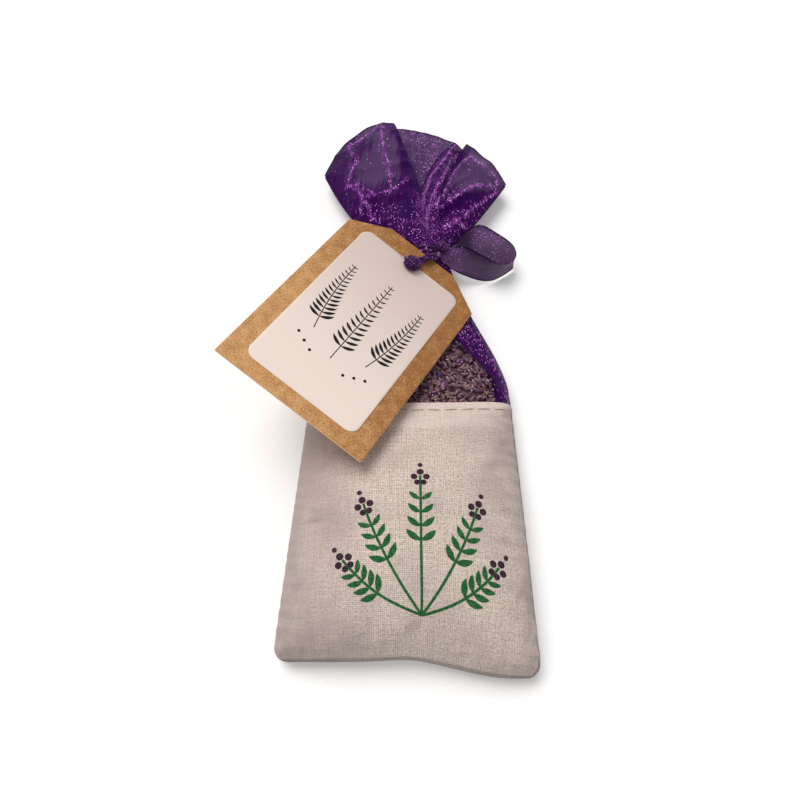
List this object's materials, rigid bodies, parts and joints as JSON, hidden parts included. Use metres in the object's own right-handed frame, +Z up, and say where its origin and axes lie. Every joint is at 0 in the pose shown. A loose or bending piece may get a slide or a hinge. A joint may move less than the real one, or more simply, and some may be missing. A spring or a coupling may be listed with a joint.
{
  "type": "lavender sachet",
  "caption": "Stuffed cotton pocket with a gathered sheer organza top, tied at the neck with ribbon and hung with a card tag; holds dried lavender to scent a drawer.",
  "frame": {"origin": "on the table, under the middle of the cotton pocket's flat underside", "axes": "+Y along the sachet from the pocket to the ruffle, +Z up off the table as it lies on its back, +X to the ribbon loop's side"},
  "size_m": [0.0909, 0.1962, 0.0395],
  "materials": {
    "cotton": "matte plain weave",
    "organza": "sheer with metallic glints",
    "ribbon": "sheer",
    "thread": "matte",
    "lavender": "dry plant matter",
    "kraft": "matte kraft",
    "label": "satin"
  },
  "bodies": {
    "sachet": {"cotton_front_panel": "cotton", "cotton_back_panel": "cotton", "organza_front_panel": "organza", "organza_back_panel": "organza", "hem_thread_front": "thread", "hem_thread_back": "thread", "side_seam_thread_left": "thread", "side_seam_thread_right": "thread", "bottom_seam_thread": "thread", "lavender_heap": "lavender", "lavender_bud_01": "lavender", "lavender_bud_02": "lavender", "lavender_bud_03": "lavender", "lavender_bud_04": "lavender", "lavender_bud_05": "lavender", "lavender_bud_06": "lavender", "lavender_bud_07": "lavender", "lavender_bud_08": "lavender", "lavender_bud_09": "lavender", "lavender_bud_10": "lavender", "lavender_bud_11": "lavender", "lavender_bud_12": "lavender", "lavender_bud_13": "lavender", "lavender_bud_14": "lavender", "lavender_bud_15": "lavender", "lavender_bud_16": "lavender", "lavender_bud_17": "lavender", "lavender_bud_18": "lavender", "lavender_bud_19": "lavender", "lavender_bud_20": "lavender", "neck_ribbon": "ribbon", "ribbon_knot": "ribbon"},
    "tie": {"tag_tie": "ribbon"},
    "tag": {"kraft_tag": "kraft", "tag_label": "label"},
    "loop": {"ribbon_loop": "ribbon"}
  },
  "joints": [
    {"name": "tie_lift", "type": "hinge", "parent": "sachet", "child": "tie", "pos_m": [0.0054, 0.09002, 0.01546], "axis": [-0.7919, 0.5524, 0.2603], "range_deg": [0, 100]},
    {"name": "tag_swing", "type": "hinge", "parent": "tie", "child": "tag", "pos_m": [0.0014, 0.08345, 0.01725], "axis": [0.3418, 0.0478, 0.9386], "range_deg": [-30, 5]},
    {"name": "loop_flap", "type": "hinge", "parent": "sachet", "child": "loop", "pos_m": [0.01645, 0.0946, 0.00995], "axis": [0, -1, 0], "range_deg": [0, 70]}
  ]
}
